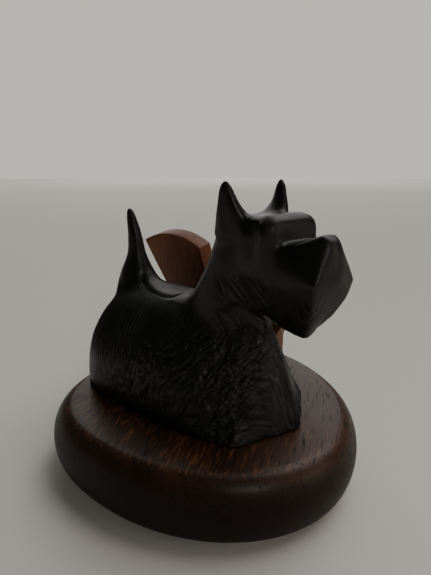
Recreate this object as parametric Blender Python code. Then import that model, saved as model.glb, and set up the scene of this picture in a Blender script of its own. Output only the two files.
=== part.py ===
"""Scottish terrier figure on a pebble-shaped wooden base, with a notched rest board behind it.

Axes: +X is the way the dog faces, +Y its left side, +Z up. The origin is the middle of the
underside of the felt pad, on the surface that the object stands on. Metres throughout.
"""
import math

import bmesh
import bpy
import numpy as np

MM = 0.001
GAP = 0.3 * MM                      # clearance between neighbouring pieces

# Base: a pebble, blunt behind the tail and elliptical in front of the chest
BASE_FRONT_X = 70.5 * MM
BASE_REAR_X = -70.5 * MM
BASE_WIDEST_X = -10.0 * MM          # where the base is widest
BASE_RIGHT = 64.0 * MM              # half-width on the dog's right
BASE_LEFT = 69.0 * MM               # half-width on the board's side
BASE_THICKNESS = 29.0 * MM
BASE_REAR_POWER = 2.5               # superellipse power of the rear half
BASE_FRONT_POWER = 2.0              # plain ellipse in front
BASE_TOP_ROUND = 9.0 * MM           # how far the rounded top edge reaches in
BASE_BOTTOM_ROUND = 7.0 * MM
BASE_EQUATOR = 0.48                 # widest level, as a share of the thickness
BASE_SIDES = 56                     # corners round the plan outline

# Felt pad under the base
FELT_THICKNESS = 1.5 * MM
FELT_INSET = 12.0 * MM

# Levels
BASE_BOTTOM = FELT_THICKNESS + GAP
BASE_TOP = BASE_BOTTOM + BASE_THICKNESS
DOG_BOTTOM = BASE_TOP + GAP

# Dog's trunk
RUMP_X = -62.5 * MM
KEEL_X = 48.4 * MM                  # lowest point of the chest's front ridge
FLANK_HALF_WIDTH = 33.7 * MM
BACK_HEIGHT = 48.5 * MM
TRUNK_ARCH_STEPS = 15

# Dog's head, in its own axes: forward, left and up from the middle of the neck
NECK_X = 24.0 * MM
HEAD_TURN = math.radians(-15.0)     # the head looks a little to the dog's right
EAR_TIP_HEIGHT = 101.0 * MM
EAR_SPREAD = 14.5 * MM
SKULL_HALF_WIDTH = 13.5 * MM
BROW_FRONT = 22.0 * MM
BROW_TOP = 89.0 * MM
NOSE_FRONT = 38.5 * MM
NOSE_TOP = 84.0 * MM
BEARD_HALF_WIDTH = 11.3 * MM
BEARD_TIP_HEIGHT = 43.6 * MM
BEARD_TIP_FORWARD = 28.0 * MM

# Dog's tail
TAIL_TIP_HEIGHT = 84.4 * MM
TAIL_TIP_X = -50.2 * MM

# Rest board behind the dog
BOARD_FRONT_Y = 38.5 * MM
BOARD_THICKNESS = 10.0 * MM
BOARD_MIDDLE_X = -20.5 * MM
BOARD_FOOT_HALF = 33.5 * MM
BOARD_TOP_HALF = 61.5 * MM
BOARD_CORNER_HEIGHT = 60.3 * MM     # outer and inner corners of each horn
BOARD_ARCH_RISE = 5.6 * MM          # crown of each horn above its corners
BOARD_TOP_BEVEL = 1.5 * MM          # the top slopes up this much from front to back
NOTCH_TOP_HALF = 17.2 * MM
NOTCH_FOOT_HALF = 7.0 * MM
NOTCH_FOOT_HEIGHT = 28.0 * MM

# Brass strips let into the board
STRIP_WIDTH = 4.2 * MM
STRIP_THICKNESS = 1.4 * MM
STRIP_PROUD = 0.3 * MM
STRIP_LENGTH = 20.0 * MM
STRIP_SLOPE = math.radians(47.0)
STRIP_OUTER_OFFSET = 33.2 * MM      # outer end of the strip from the board's middle
STRIP_OUTER_HEIGHT = 27.6 * MM

# Wood screws driven up from below
SCREW_RADIUS = 1.9 * MM
SCREW_HEAD_RADIUS = 4.0 * MM
SCREW_HEAD_THICKNESS = 2.4 * MM
COUNTERBORE_DEPTH = 9.0 * MM
DOG_SCREW_XS = (-30.0 * MM, 18.0 * MM)
DOG_SCREW_LENGTH = 34.0 * MM
BOARD_SCREW_OFFSET = 20.0 * MM
BOARD_SCREW_LENGTH = 32.0 * MM
ROUND_STEPS = 20

BLACK = (0.012, 0.012, 0.013, 1.0)
WALNUT = (0.060, 0.022, 0.012, 1.0)
MAHOGANY = (0.075, 0.024, 0.010, 1.0)
BRASS = (0.62, 0.45, 0.20, 1.0)
STEEL = (0.45, 0.45, 0.46, 1.0)
GREEN = (0.02, 0.05, 0.03, 1.0)


def clear_scene():
    """Remove every object, so that the script can run again."""
    for obj in list(bpy.data.objects):
        bpy.data.objects.remove(obj, do_unlink=True)


def finish(name, colour, roughness, metallic=0.0):
    """One Principled material."""
    material = bpy.data.materials.new(name)
    material.use_nodes = True
    shader = material.node_tree.nodes["Principled BSDF"]
    shader.inputs["Base Color"].default_value = colour
    shader.inputs["Roughness"].default_value = roughness
    shader.inputs["Metallic"].default_value = metallic
    return material


def add_object(name, mesh, material=None):
    """Put a mesh into the scene under its name."""
    obj = bpy.data.objects.new(name, mesh)
    bpy.context.scene.collection.objects.link(obj)
    if material is not None:
        mesh.materials.append(material)
    mesh.shade_smooth()
    mesh.set_sharp_from_angle(angle=math.radians(35.0))
    return obj


def to_mesh(name, work):
    """Point the faces outwards and turn the bmesh into a mesh."""
    bmesh.ops.recalc_face_normals(work, faces=work.faces)
    mesh = bpy.data.meshes.new(name)
    work.to_mesh(mesh)
    work.free()
    return mesh


def loft(name, rings):
    """A closed skin through rings of equal length, flat at both ends."""
    work = bmesh.new()
    rows = [[work.verts.new(point) for point in ring] for ring in rings]
    count = len(rows[0])
    for low, high in zip(rows, rows[1:]):
        for i in range(count):
            j = (i + 1) % count
            work.faces.new((low[i], low[j], high[j], high[i]))
    work.faces.new(rows[0])
    work.faces.new(rows[-1])
    return to_mesh(name, work)


def hull(name, points):
    """The convex solid round a few points."""
    work = bmesh.new()
    for point in points:
        work.verts.new(point)
    made = bmesh.ops.convex_hull(work, input=work.verts)
    loose = [v for v in made["geom_interior"] if isinstance(v, bmesh.types.BMVert)]
    bmesh.ops.delete(work, geom=loose, context="VERTS")
    return to_mesh(name, work)


def merge(name, meshes):
    """Several closed bodies in one mesh."""
    work = bmesh.new()
    for mesh in meshes:
        work.from_mesh(mesh)
    mesh = bpy.data.meshes.new(name)
    work.to_mesh(mesh)
    work.free()
    return mesh


def helper(name, mesh):
    """A solid that only shapes another piece."""
    obj = add_object(name, mesh)
    obj.hide_render = True
    obj.display_type = "WIRE"
    return obj


def boolean(obj, other, operation):
    """Join another solid to this one, or cut it away."""
    modifier = obj.modifiers.new(operation.lower() + "_" + other.name, "BOOLEAN")
    modifier.operation = operation
    modifier.solver = "EXACT"
    modifier.object = other


def disc(radius, x, y, z, steps=ROUND_STEPS):
    """A level circle of points."""
    turn = np.arange(steps) * 2.0 * math.pi / steps
    return np.column_stack([x + radius * np.cos(turn), y + radius * np.sin(turn), np.full(steps, z)])


def ellipse(x, z, half_length, half_width, steps=22):
    """A level ellipse on the dog's middle plane."""
    turn = np.arange(steps) * 2.0 * math.pi / steps
    return np.column_stack([x + half_length * np.cos(turn), half_width * np.sin(turn), np.full(steps, z)])


# ---------------------------------------------------------------- base and pad

def base_outline(inset, z):
    """Plan of the base, drawn in by an inset: an ellipse ahead of the widest point, and a
    squarer superellipse behind it."""
    turn = np.arange(BASE_SIDES) * 2.0 * math.pi / BASE_SIDES
    along, across = np.cos(turn), np.sin(turn)
    ahead = along >= 0.0
    power = np.where(ahead, BASE_FRONT_POWER, BASE_REAR_POWER)
    reach = np.where(ahead, BASE_FRONT_X - BASE_WIDEST_X, BASE_WIDEST_X - BASE_REAR_X)
    half = np.where(across >= 0.0, BASE_LEFT, BASE_RIGHT)
    x = BASE_WIDEST_X + (reach - inset) * np.sign(along) * np.abs(along) ** (2.0 / power)
    y = (half - inset) * np.sign(across) * np.abs(across) ** (2.0 / power)
    return np.column_stack([x, y, np.full(BASE_SIDES, z)])


def base_rings(steps=6):
    """Rings from the underside to the top: two quarter ellipses that meet at the equator."""
    equator = BASE_THICKNESS * BASE_EQUATOR
    rings = []
    for i in range(steps + 1):
        bend = 0.5 * math.pi * i / steps
        inset = BASE_BOTTOM_ROUND * (1.0 - math.sin(bend))
        rings.append(base_outline(inset, BASE_BOTTOM + equator * (1.0 - math.cos(bend))))
    for i in range(1, steps + 1):
        bend = 0.5 * math.pi * i / steps
        inset = BASE_TOP_ROUND * (1.0 - math.cos(bend))
        rings.append(base_outline(inset, BASE_BOTTOM + equator + (BASE_THICKNESS - equator) * math.sin(bend)))
    return rings


def screw_places():
    """X and Y of every screw, dog's first."""
    board_y = BOARD_FRONT_Y + 0.5 * BOARD_THICKNESS
    dog = [(x, 0.0) for x in DOG_SCREW_XS]
    board = [(BOARD_MIDDLE_X + side * BOARD_SCREW_OFFSET, board_y) for side in (-1, 1)]
    return dog, board


def make_base(material):
    """Pebble with a counterbored hole for each screw."""
    base = add_object("base", loft("base", base_rings()), material)
    dog, board = screw_places()
    cuts = []
    for x, y in dog + board:
        wide, narrow = SCREW_HEAD_RADIUS + GAP, SCREW_RADIUS + GAP
        floor = BASE_BOTTOM + COUNTERBORE_DEPTH
        rings = [disc(wide, x, y, BASE_BOTTOM - MM), disc(wide, x, y, floor)]
        rings += [disc(narrow, x, y, floor), disc(narrow, x, y, BASE_TOP + MM)]
        cuts.append(loft("screw_way", rings))
    boolean(base, helper("base_screw_ways", merge("base_screw_ways", cuts)), "DIFFERENCE")
    return base


def make_felt(material):
    """Thin pad that covers the screw heads."""
    rings = [base_outline(FELT_INSET, 0.0), base_outline(FELT_INSET, FELT_THICKNESS)]
    return add_object("felt_pad", loft("felt_pad", rings), material)


def make_screw(name, place, length, material):
    """Round-headed wood screw with a tapered point."""
    x, y = place
    seat = BASE_BOTTOM + COUNTERBORE_DEPTH - GAP
    top = seat + length
    rings = [disc(0.6 * SCREW_HEAD_RADIUS, x, y, seat - SCREW_HEAD_THICKNESS)]
    rings.append(disc(0.92 * SCREW_HEAD_RADIUS, x, y, seat - 0.7 * SCREW_HEAD_THICKNESS))
    rings.append(disc(SCREW_HEAD_RADIUS, x, y, seat - 0.2 * SCREW_HEAD_THICKNESS))
    rings += [disc(SCREW_HEAD_RADIUS, x, y, seat), disc(SCREW_RADIUS, x, y, seat)]
    rings += [disc(SCREW_RADIUS, x, y, top - 4.0 * MM), disc(0.2 * SCREW_RADIUS, x, y, top)]
    return add_object(name, loft(name, rings), material)


def pilot_holes(name, places, length, bottom):
    """Blind holes that hold the screws, as one cutting solid."""
    top = BASE_BOTTOM + COUNTERBORE_DEPTH + length + MM
    radius = SCREW_RADIUS + GAP
    holes = [loft(name, [disc(radius, x, y, bottom - MM), disc(radius, x, y, top)]) for x, y in places]
    return helper(name, merge(name, holes))


# ---------------------------------------------------------------- dog

def trunk_section(x, half_width, height, power):
    """Arch across the trunk: a superellipse that stands on the base. Power 1 is a plain gable."""
    turn = np.linspace(0.0, math.pi, TRUNK_ARCH_STEPS)
    y = half_width * np.sign(np.cos(turn)) * np.abs(np.cos(turn)) ** (2.0 / power)
    z = DOG_BOTTOM + height * np.abs(np.sin(turn)) ** (2.0 / power)
    z[0] = z[-1] = DOG_BOTTOM
    return np.column_stack([np.full(TRUNK_ARCH_STEPS, x), y, z])


def trunk():
    """Rump, barrel and chest; the chest narrows upwards and ends in an upright ridge."""
    wide, tall = FLANK_HALF_WIDTH, BACK_HEIGHT
    stations = [
        (RUMP_X, 0.30 * wide, 0.40 * tall, 2.3), (RUMP_X + 2.5 * MM, 0.60 * wide, 0.64 * tall, 2.4),
        (RUMP_X + 7.5 * MM, 0.84 * wide, 0.83 * tall, 2.5), (RUMP_X + 14.5 * MM, 0.95 * wide, 0.94 * tall, 2.5),
        (RUMP_X + 24.5 * MM, wide, 0.99 * tall, 2.4), (-20.0 * MM, wide, tall, 2.2),
        (0.0, wide, 1.03 * tall, 1.9), (18.0 * MM, 0.95 * wide, 1.07 * tall, 1.35),
        (30.0 * MM, 0.87 * wide, 0.98 * tall, 1.05), (35.5 * MM, 0.80 * wide, 0.76 * tall, 1.0),
        (42.0 * MM, 0.42 * wide, 0.49 * tall, 1.0), (KEEL_X, 0.05 * wide, 0.14 * tall, 1.0),
    ]
    return loft("trunk", [trunk_section(*station) for station in stations])


def neck():
    """Level ellipses that rise and lean forward from the shoulders to the skull."""
    levels = [
        (12.0, 20.0, 15.0, 13.0), (11.5, 38.0, 18.5, 14.5), (12.5, 48.0, 19.0, 15.2),
        (14.5, 56.0, 17.5, 15.0), (18.0, 65.0, 15.5, 14.3), (21.5, 76.0, 14.5, 13.5), (22.5, 84.0, 13.5, 12.5),
    ]
    rings = [ellipse(x * MM, DOG_BOTTOM + z * MM, a * MM, b * MM) for x, z, a, b in levels]
    return loft("neck", rings)


def in_head(forward, left, up):
    """A point given in the head's own axes."""
    x = NECK_X + forward * math.cos(HEAD_TURN) - left * math.sin(HEAD_TURN)
    y = forward * math.sin(HEAD_TURN) + left * math.cos(HEAD_TURN)
    return (x, y, DOG_BOTTOM + up)


def pair(forward, left, up):
    """The same head point on both sides."""
    return [in_head(forward, left, up), in_head(forward, -left, up)]


def skull():
    """Block of the head from the nape to the brow."""
    half, top = SKULL_HALF_WIDTH, BROW_TOP
    points = pair(-12.0 * MM, 0.4 * half, 0.90 * top) + pair(-12.0 * MM, 0.5 * half, 0.80 * top)
    points += pair(-7.5 * MM, 0.6 * half, 0.975 * top) + pair(-7.0 * MM, 0.93 * half, 0.93 * top)
    points += pair(-7.0 * MM, half, 0.78 * top) + pair(12.0 * MM, 0.75 * half, top)
    points += pair(12.0 * MM, half, 0.95 * top) + pair(12.0 * MM, half, 0.74 * top)
    points += pair(10.0 * MM, 0.6 * half, 0.62 * top) + pair(-6.0 * MM, 0.6 * half, 0.70 * top)
    return hull("skull", points)


def brow():
    """Overhanging block above the eyes."""
    front, top = BROW_FRONT, BROW_TOP
    points = pair(4.0 * MM, 12.5 * MM, top - MM) + pair(front - 6.0 * MM, 11.0 * MM, top)
    points += pair(front - 2.0 * MM, 8.5 * MM, top - MM) + pair(front - 4.0 * MM, 13.8 * MM, top - 4.0 * MM)
    points += pair(front, 11.5 * MM, top - 3.0 * MM) + pair(front, 11.0 * MM, top - 8.0 * MM)
    points += pair(front - 4.0 * MM, 14.0 * MM, top - 9.0 * MM) + pair(4.0 * MM, 13.5 * MM, top - 10.5 * MM)
    points += pair(6.0 * MM, 10.0 * MM, top - 11.5 * MM)
    return hull("brow", points)


def muzzle():
    """Axe-shaped muzzle and beard with a kite-shaped front."""
    middle = 67.0 * MM
    points = pair(NOSE_FRONT - 3.0 * MM, 4.6 * MM, NOSE_TOP) + pair(NOSE_FRONT, 3.6 * MM, NOSE_TOP - 2.0 * MM)
    points += pair(NOSE_FRONT + 3.0 * MM, 0.35 * BEARD_HALF_WIDTH, middle + 2.0 * MM)
    points += pair(NOSE_FRONT + MM, BEARD_HALF_WIDTH, middle)
    points += pair(BEARD_TIP_FORWARD, 2.0 * MM, BEARD_TIP_HEIGHT)
    points += pair(8.0 * MM, 11.5 * MM, 80.0 * MM) + pair(8.0 * MM, 12.5 * MM, middle)
    points += pair(8.0 * MM, 8.0 * MM, 50.0 * MM) + pair(20.0 * MM, 6.0 * MM, 46.5 * MM)
    return hull("muzzle", points)


def ear(side):
    """Upright ear: broad root, pointed tip near its rear edge."""
    place = side * EAR_SPREAD
    points = [in_head(-1.5 * MM, place, EAR_TIP_HEIGHT), in_head(0.8 * MM, place, EAR_TIP_HEIGHT - 0.8 * MM)]
    points += [in_head(-5.0 * MM, place, 95.0 * MM), in_head(2.5 * MM, place - side * 1.5 * MM, 96.0 * MM)]
    points += [in_head(-7.5 * MM, place - side * MM, 84.0 * MM), in_head(-5.5 * MM, place - side * 7.0 * MM, 84.0 * MM)]
    points += [in_head(9.0 * MM, place - side * 6.0 * MM, 87.0 * MM), in_head(4.0 * MM, place - side * 8.0 * MM, 86.0 * MM)]
    points += [in_head(7.0 * MM, place - side * 2.0 * MM, 84.0 * MM)]
    return hull("ear", points)


def tail():
    """Upright carrot of a tail: level ellipses from the rump to the tip."""
    levels = [
        (-42.0, 38.0, 14.0, 12.5), (-45.5, 51.0, 10.5, 8.4), (-46.4, 57.0, 7.7, 6.2),
        (-46.5, 63.0, 5.4, 4.3), (-47.2, 70.0, 4.0, 3.2), (-48.0, 75.0, 3.3, 2.6), (-49.2, 80.0, 2.4, 1.9),
    ]
    rings = [ellipse(x * MM, DOG_BOTTOM + z * MM, a * MM, b * MM, 14) for x, z, a, b in levels]
    rings.append(ellipse(TAIL_TIP_X, DOG_BOTTOM + TAIL_TIP_HEIGHT, 1.0 * MM, 0.9 * MM, 14))
    return loft("tail", rings)


def make_dog(material):
    """The one-piece figure, with two pilot holes in its underside."""
    dog = add_object("dog_figure", trunk(), material)
    for name, mesh in (("neck", neck()), ("skull", skull()), ("brow", brow()), ("muzzle", muzzle()),
                       ("right_ear", ear(-1)), ("left_ear", ear(1)), ("tail", tail())):
        boolean(dog, helper(name, mesh), "UNION")
    boolean(dog, pilot_holes("dog_pilot_holes", screw_places()[0], DOG_SCREW_LENGTH, DOG_BOTTOM), "DIFFERENCE")
    return dog


# ---------------------------------------------------------------- rest board

def board_side(height):
    """Half-width of the board at a height: straight foot, then an S-shaped flare to the horn."""
    share = np.clip((height - 18.0 * MM) / (BOARD_CORNER_HEIGHT - 18.0 * MM), 0.0, 1.0)
    ease = share ** 1.3 * (1.0 - 0.25 * share) / 0.75
    return BOARD_FOOT_HALF + (BOARD_TOP_HALF - BOARD_FOOT_HALF) * ease


def half_board():
    """Offsets from the middle and heights of the board's right half, foot to notch floor."""
    heights = np.linspace(0.0, BOARD_CORNER_HEIGHT, 9)
    edge = [(board_side(h), h) for h in heights]
    crown = []
    for share in np.linspace(0.0, 1.0, 8)[1:-1]:
        offset = BOARD_TOP_HALF + share * (NOTCH_TOP_HALF - BOARD_TOP_HALF)
        crown.append((offset, BOARD_CORNER_HEIGHT + BOARD_ARCH_RISE * 4.0 * share * (1.0 - share)))
    notch = [(NOTCH_TOP_HALF, BOARD_CORNER_HEIGHT), (NOTCH_FOOT_HALF, NOTCH_FOOT_HEIGHT)]
    for turn in np.linspace(0.0, 0.5 * math.pi, 5)[1:]:
        drop = NOTCH_FOOT_HALF * math.sin(turn)
        notch.append((NOTCH_FOOT_HALF * math.cos(turn), NOTCH_FOOT_HEIGHT - drop))
    return edge + crown + notch


def board_outline(y, rise):
    """Closed outline of the board in one upright plane; the tops stand higher by the rise."""
    right = half_board()
    points = [(BOARD_MIDDLE_X + offset, height) for offset, height in right]
    points += [(BOARD_MIDDLE_X - offset, height) for offset, height in reversed(right[:-1])]
    low = 0.5 * BOARD_CORNER_HEIGHT
    lifted = [(x, h + rise * max(0.0, (h - low) / low)) for x, h in points]
    return [(x, y, DOG_BOTTOM + h) for x, h in lifted]


def strip_frame(side, thickness, width, proud, extra):
    """One strip's box on the board's front, as the eight corners of a slanted bar."""
    outer = np.array([BOARD_MIDDLE_X + side * STRIP_OUTER_OFFSET, DOG_BOTTOM + STRIP_OUTER_HEIGHT])
    way = np.array([-side * math.cos(STRIP_SLOPE), -math.sin(STRIP_SLOPE)])
    across = np.array([way[1], -way[0]]) * 0.5 * width
    corners = []
    for reach in (-extra, STRIP_LENGTH + extra):
        for half in (-1.0, 1.0):
            x, z = outer + way * reach + across * half
            corners += [(x, BOARD_FRONT_Y - proud, z), (x, BOARD_FRONT_Y - proud + thickness, z)]
    return corners


def make_board(material):
    """Notched board with two shallow slots for the brass strips."""
    rings = [board_outline(BOARD_FRONT_Y, 0.0), board_outline(BOARD_FRONT_Y + BOARD_THICKNESS, BOARD_TOP_BEVEL)]
    board = add_object("rest_board", loft("rest_board", rings), material)
    deep = STRIP_THICKNESS + GAP + MM
    slots = [hull("slot", strip_frame(side, deep - STRIP_PROUD, STRIP_WIDTH + 2.0 * GAP, MM, GAP)) for side in (-1, 1)]
    boolean(board, helper("strip_slots", merge("strip_slots", slots)), "DIFFERENCE")
    holes = pilot_holes("board_pilot_holes", screw_places()[1], BOARD_SCREW_LENGTH, DOG_BOTTOM)
    boolean(board, holes, "DIFFERENCE")
    return board


def make_strip(name, side, material):
    """Brass strip let into the board's front on one side."""
    bar = strip_frame(side, STRIP_THICKNESS, STRIP_WIDTH, STRIP_PROUD, 0.0)
    return add_object(name, hull(name, bar), material)


def main():
    clear_scene()
    dog_places, board_places = screw_places()
    steel = finish("steel", STEEL, 0.35, 1.0)
    make_base(finish("walnut", WALNUT, 0.38))
    make_felt(finish("felt", GREEN, 0.95))
    make_dog(finish("black_satin", BLACK, 0.42))
    make_board(finish("mahogany", MAHOGANY, 0.40))
    brass = finish("brass", BRASS, 0.32, 1.0)
    for name, side in (("brass_strip_rear", -1), ("brass_strip_front", 1)):
        make_strip(name, side, brass)
    for name, place in zip(("dog_screw_rear", "dog_screw_front"), dog_places):
        make_screw(name, place, DOG_SCREW_LENGTH, steel)
    for name, place in zip(("board_screw_rear", "board_screw_front"), board_places):
        make_screw(name, place, BOARD_SCREW_LENGTH, steel)


main()
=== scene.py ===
"""Looks of a Scottish terrier figure: a black satin dog with tooled fur, standing on a waxed
walnut pebble in front of a notched red wood rest board with brass strips.

Axes as in the frame: +X is the way the dog faces, +Y its left side, +Z up. Metres.
"""

import math

import bmesh
import bpy
import numpy as np
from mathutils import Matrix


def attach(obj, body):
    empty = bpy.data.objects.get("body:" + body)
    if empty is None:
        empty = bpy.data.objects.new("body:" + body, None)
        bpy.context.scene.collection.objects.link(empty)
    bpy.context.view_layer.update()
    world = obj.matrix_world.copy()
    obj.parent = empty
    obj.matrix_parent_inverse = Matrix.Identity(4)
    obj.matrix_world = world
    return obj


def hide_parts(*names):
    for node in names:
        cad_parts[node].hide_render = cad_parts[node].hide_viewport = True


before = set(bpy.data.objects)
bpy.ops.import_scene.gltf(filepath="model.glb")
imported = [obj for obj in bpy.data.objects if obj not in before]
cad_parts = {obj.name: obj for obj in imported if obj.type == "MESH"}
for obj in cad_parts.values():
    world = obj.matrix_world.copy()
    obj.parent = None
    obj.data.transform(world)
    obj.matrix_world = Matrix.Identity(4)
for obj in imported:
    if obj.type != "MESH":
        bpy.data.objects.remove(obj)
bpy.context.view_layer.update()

MM = 0.001
GAP = 0.3 * MM

# Levels
FELT_TOP = 1.5 * MM
BASE_BOTTOM = 1.8 * MM
BASE_THICKNESS = 29.0 * MM
BASE_TOP = BASE_BOTTOM + BASE_THICKNESS
DOG_BOTTOM = BASE_TOP + GAP

# Base
BASE_FRONT_X = 70.5 * MM
BASE_REAR_X = -70.5 * MM
BASE_WIDEST_X = -10.0 * MM
BASE_RIGHT = 64.0 * MM
BASE_LEFT = 69.0 * MM
BASE_TOP_ROUND = 9.0 * MM
BASE_BOTTOM_ROUND = 7.0 * MM
BASE_EQUATOR = 0.48                 # its widest level, as a share of the thickness
BASE_FRONT_POWER = 2.0              # a plain ellipse in front
BASE_REAR_POWER = 2.5               # a superellipse behind
BASE_SIDES = 224                    # points round the plan
FELT_INSET = 12.0 * MM
FELT_EDGE = 0.3 * MM                # rounding of the felt's cut edge
GRAIN_TURN = math.radians(20.0)     # the base's grain, turned from +Y towards -X

# Dog, in millimetres from its foot
RUMP_X = -62.5
KEEL_X = 48.4                       # lowest point of the chest's front ridge
FLANK = 33.7                        # half-width of the trunk
BACK = 48.5                         # height of the back
NECK_X = 24.0
HEAD_TURN = math.radians(-15.0)
EAR_TURN = math.radians(22.0)       # the ears' fronts are turned inwards
CLAY_SIZE = 0.50 * MM               # spacing of the points on the dog's skin
CLAY_KEPT = 0.59                    # share of the clay's triangles kept after the tooling
GROOVE_SPACING = 1.9                # from one groove of the flank to the next
GROOVE_DEPTH = 0.95
CUT_WIDTH = 0.16                    # how wide a furrow is, as a share of the lumps' height
FULL_CUT = 0.55                     # a cut this deep gets the full painted shade of the cuts and their roughest finish
SMOOTHING = 0.6                     # how far a point moves to its neighbours' middle in one round
LONG_ROUNDS, SHORT_ROUNDS, LIGHT_ROUNDS = 200, 70, 14

# Rest board
BOARD_FRONT_Y = 38.5 * MM
BOARD_THICKNESS = 10.0 * MM
BOARD_MIDDLE_X = -20.5 * MM
BOARD_FOOT_HALF = 33.5 * MM
BOARD_TOP_HALF = 61.5 * MM
BOARD_CORNER_HEIGHT = 60.3 * MM     # outer and inner corners of each horn
BOARD_ARCH_RISE = 5.6 * MM          # crown of each horn above its corners
BOARD_TOP_BEVEL = 1.5 * MM          # how much the tops rise from front to back
BOARD_FLARE_FOOT = 18.0 * MM        # level where the sides start to flare
BOARD_EDGE = 0.55 * MM              # rounding of the worn edges
NOTCH_TOP_HALF = 17.2 * MM
NOTCH_FOOT_HALF = 7.0 * MM
NOTCH_FOOT_HEIGHT = 28.0 * MM
STRIP_WIDTH = 4.2 * MM
STRIP_THICKNESS = 1.4 * MM
STRIP_PROUD = 0.3 * MM
STRIP_LENGTH = 20.0 * MM
STRIP_SLOPE = math.radians(47.0)
STRIP_OUTER_OFFSET = 33.2 * MM      # outer end of the strip from the board's middle
STRIP_OUTER_HEIGHT = 27.6 * MM
STRIP_EDGE = 0.3 * MM

# Screw ways
SCREW_RADIUS = 1.9 * MM
SCREW_HEAD_RADIUS = 4.0 * MM
COUNTERBORE_DEPTH = 9.0 * MM
DOG_PILOT = 35.0 * MM               # length of a pilot hole from the screw head's seat
BOARD_PILOT = 33.0 * MM
DOG_SCREWS = ((-30.0 * MM, 0.0), (18.0 * MM, 0.0))
BOARD_SCREWS = tuple((BOARD_MIDDLE_X + side * 20.0 * MM, BOARD_FRONT_Y + 0.5 * BOARD_THICKNESS)
                     for side in (-1, 1))

# Camera and room
CAMERA_PLACE = (0.1182, -0.1461, 0.1391)
CAMERA_DOWN = math.radians(16.4)
CAMERA_TURN = math.radians(38.0)
CAMERA_VIEW = math.radians(67.04435893536781)
CAMERA_NEAR = MM
ROOM_COLOUR = (0.62, 0.600, 0.540)
ROOM_LIGHT = 0.10                   # how strongly the room lights the object
ROOM_SHOWN = 1.12                   # how strongly the room itself is seen


# ---------------------------------------------------------------- sums on arrays

def ease(low, high, value):
    """Smooth step from 0 at low to 1 at high."""
    share = np.clip((value - low) / (high - low), 0.0, 1.0)
    return share * share * (3.0 - 2.0 * share)


def band(value, start, full, fade, end):
    """1 between full and fade, sloping to 0 at start and end."""
    return ease(start, full, value) * (1.0 - ease(fade, end, value))


def bell(distance, width):
    """Bell curve: 1 at zero, falling away over the width."""
    return np.exp(-(distance / width) ** 2)


def lumps(a, b, c, seed):
    """Smooth random heights from -1 to 1: a lattice of random numbers, eased between its points.
    One unit of a, b or c is one lump."""
    size = 32
    lattice = np.random.default_rng(seed).random((size, size, size)) * 2.0 - 1.0
    whole = [np.floor(v).astype(int) for v in (a, b, c)]
    part = [v - w for v, w in zip((a, b, c), whole)]
    part = [p * p * (3.0 - 2.0 * p) for p in part]
    total = 0.0
    for corner in range(8):
        step = [(corner >> k) & 1 for k in range(3)]
        weight = 1.0
        for s, p in zip(step, part):
            weight = weight * (p if s else 1.0 - p)
        i, j, k = [(w + s) % size for w, s in zip(whole, step)]
        total = total + weight * lattice[i, j, k]
    return total


def line_distance(points, start, end):
    """Distance of points from a straight piece of line."""
    start, end = np.array(start, float), np.array(end, float)
    way = end - start
    along = np.clip((points - start) @ way / (way @ way), 0.0, 1.0)
    return np.linalg.norm(points - start - along[:, None] * way, axis=1)


# ---------------------------------------------------------------- meshes

def put_mesh(name, points, faces, smooth=True):
    """A mesh from arrays of points and faces, with its faces turned outwards."""
    mesh = bpy.data.meshes.new(name)
    mesh.from_pydata(np.asarray(points, float).tolist(), [], faces)
    work = bmesh.new()
    work.from_mesh(mesh)
    bmesh.ops.recalc_face_normals(work, faces=work.faces)
    work.to_mesh(mesh)
    work.free()
    if smooth:
        mesh.shade_smooth()
    return mesh


def add_object(name, data):
    """Put a mesh, light or camera into the scene under a name."""
    obj = bpy.data.objects.new(name, data)
    bpy.context.scene.collection.objects.link(obj)
    return obj


def tube(name, rings, smooth=True):
    """A closed skin through rings of points: quads from each ring to the next, and a fan of
    triangles from each end ring to its middle."""
    rings = np.asarray(rings, float)
    rows, columns = rings.shape[:2]
    points = np.vstack([rings.reshape(-1, 3), rings[0].mean(0), rings[-1].mean(0)])
    row, side = np.arange(rows - 1)[:, None] * columns, np.arange(columns)[None, :]
    after = (side + 1) % columns
    quads = np.stack([row + side, row + after, row + columns + after, row + columns + side], -1)
    side, after = side.ravel(), after.ravel()
    low = np.stack([after, side, np.full(columns, rows * columns)], -1)
    last = (rows - 1) * columns
    high = np.stack([last + side, last + after, np.full(columns, rows * columns + 1)], -1)
    return put_mesh(name, points, quads.reshape(-1, 4).tolist() + low.tolist() + high.tolist(), smooth)


def hull(name, points):
    """The convex solid round a few points."""
    work = bmesh.new()
    for point in points:
        work.verts.new(point)
    made = bmesh.ops.convex_hull(work, input=work.verts)
    loose = [v for v in made["geom_interior"] if isinstance(v, bmesh.types.BMVert)]
    bmesh.ops.delete(work, geom=loose, context="VERTS")
    bmesh.ops.recalc_face_normals(work, faces=work.faces)
    mesh = bpy.data.meshes.new(name)
    work.to_mesh(mesh)
    work.free()
    return mesh


def gather(name, meshes):
    """Several closed bodies in one mesh."""
    work = bmesh.new()
    for mesh in meshes:
        work.from_mesh(mesh)
    mesh = bpy.data.meshes.new(name)
    work.to_mesh(mesh)
    work.free()
    return mesh


def settle(obj):
    """Apply every modifier of an object to its mesh."""
    bpy.context.view_layer.update()
    graph = bpy.context.evaluated_depsgraph_get()
    mesh = bpy.data.meshes.new_from_object(obj.evaluated_get(graph))
    obj.modifiers.clear()
    old = obj.data
    obj.data = mesh
    bpy.data.meshes.remove(old)
    return obj


def cut(obj, mesh):
    """Cut a closed mesh out of an object."""
    tool = add_object("tool", mesh)
    modifier = obj.modifiers.new("cut", "BOOLEAN")
    modifier.operation, modifier.solver, modifier.object = "DIFFERENCE", "EXACT", tool
    settle(obj)
    bpy.data.objects.remove(tool, do_unlink=True)
    return obj


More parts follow.
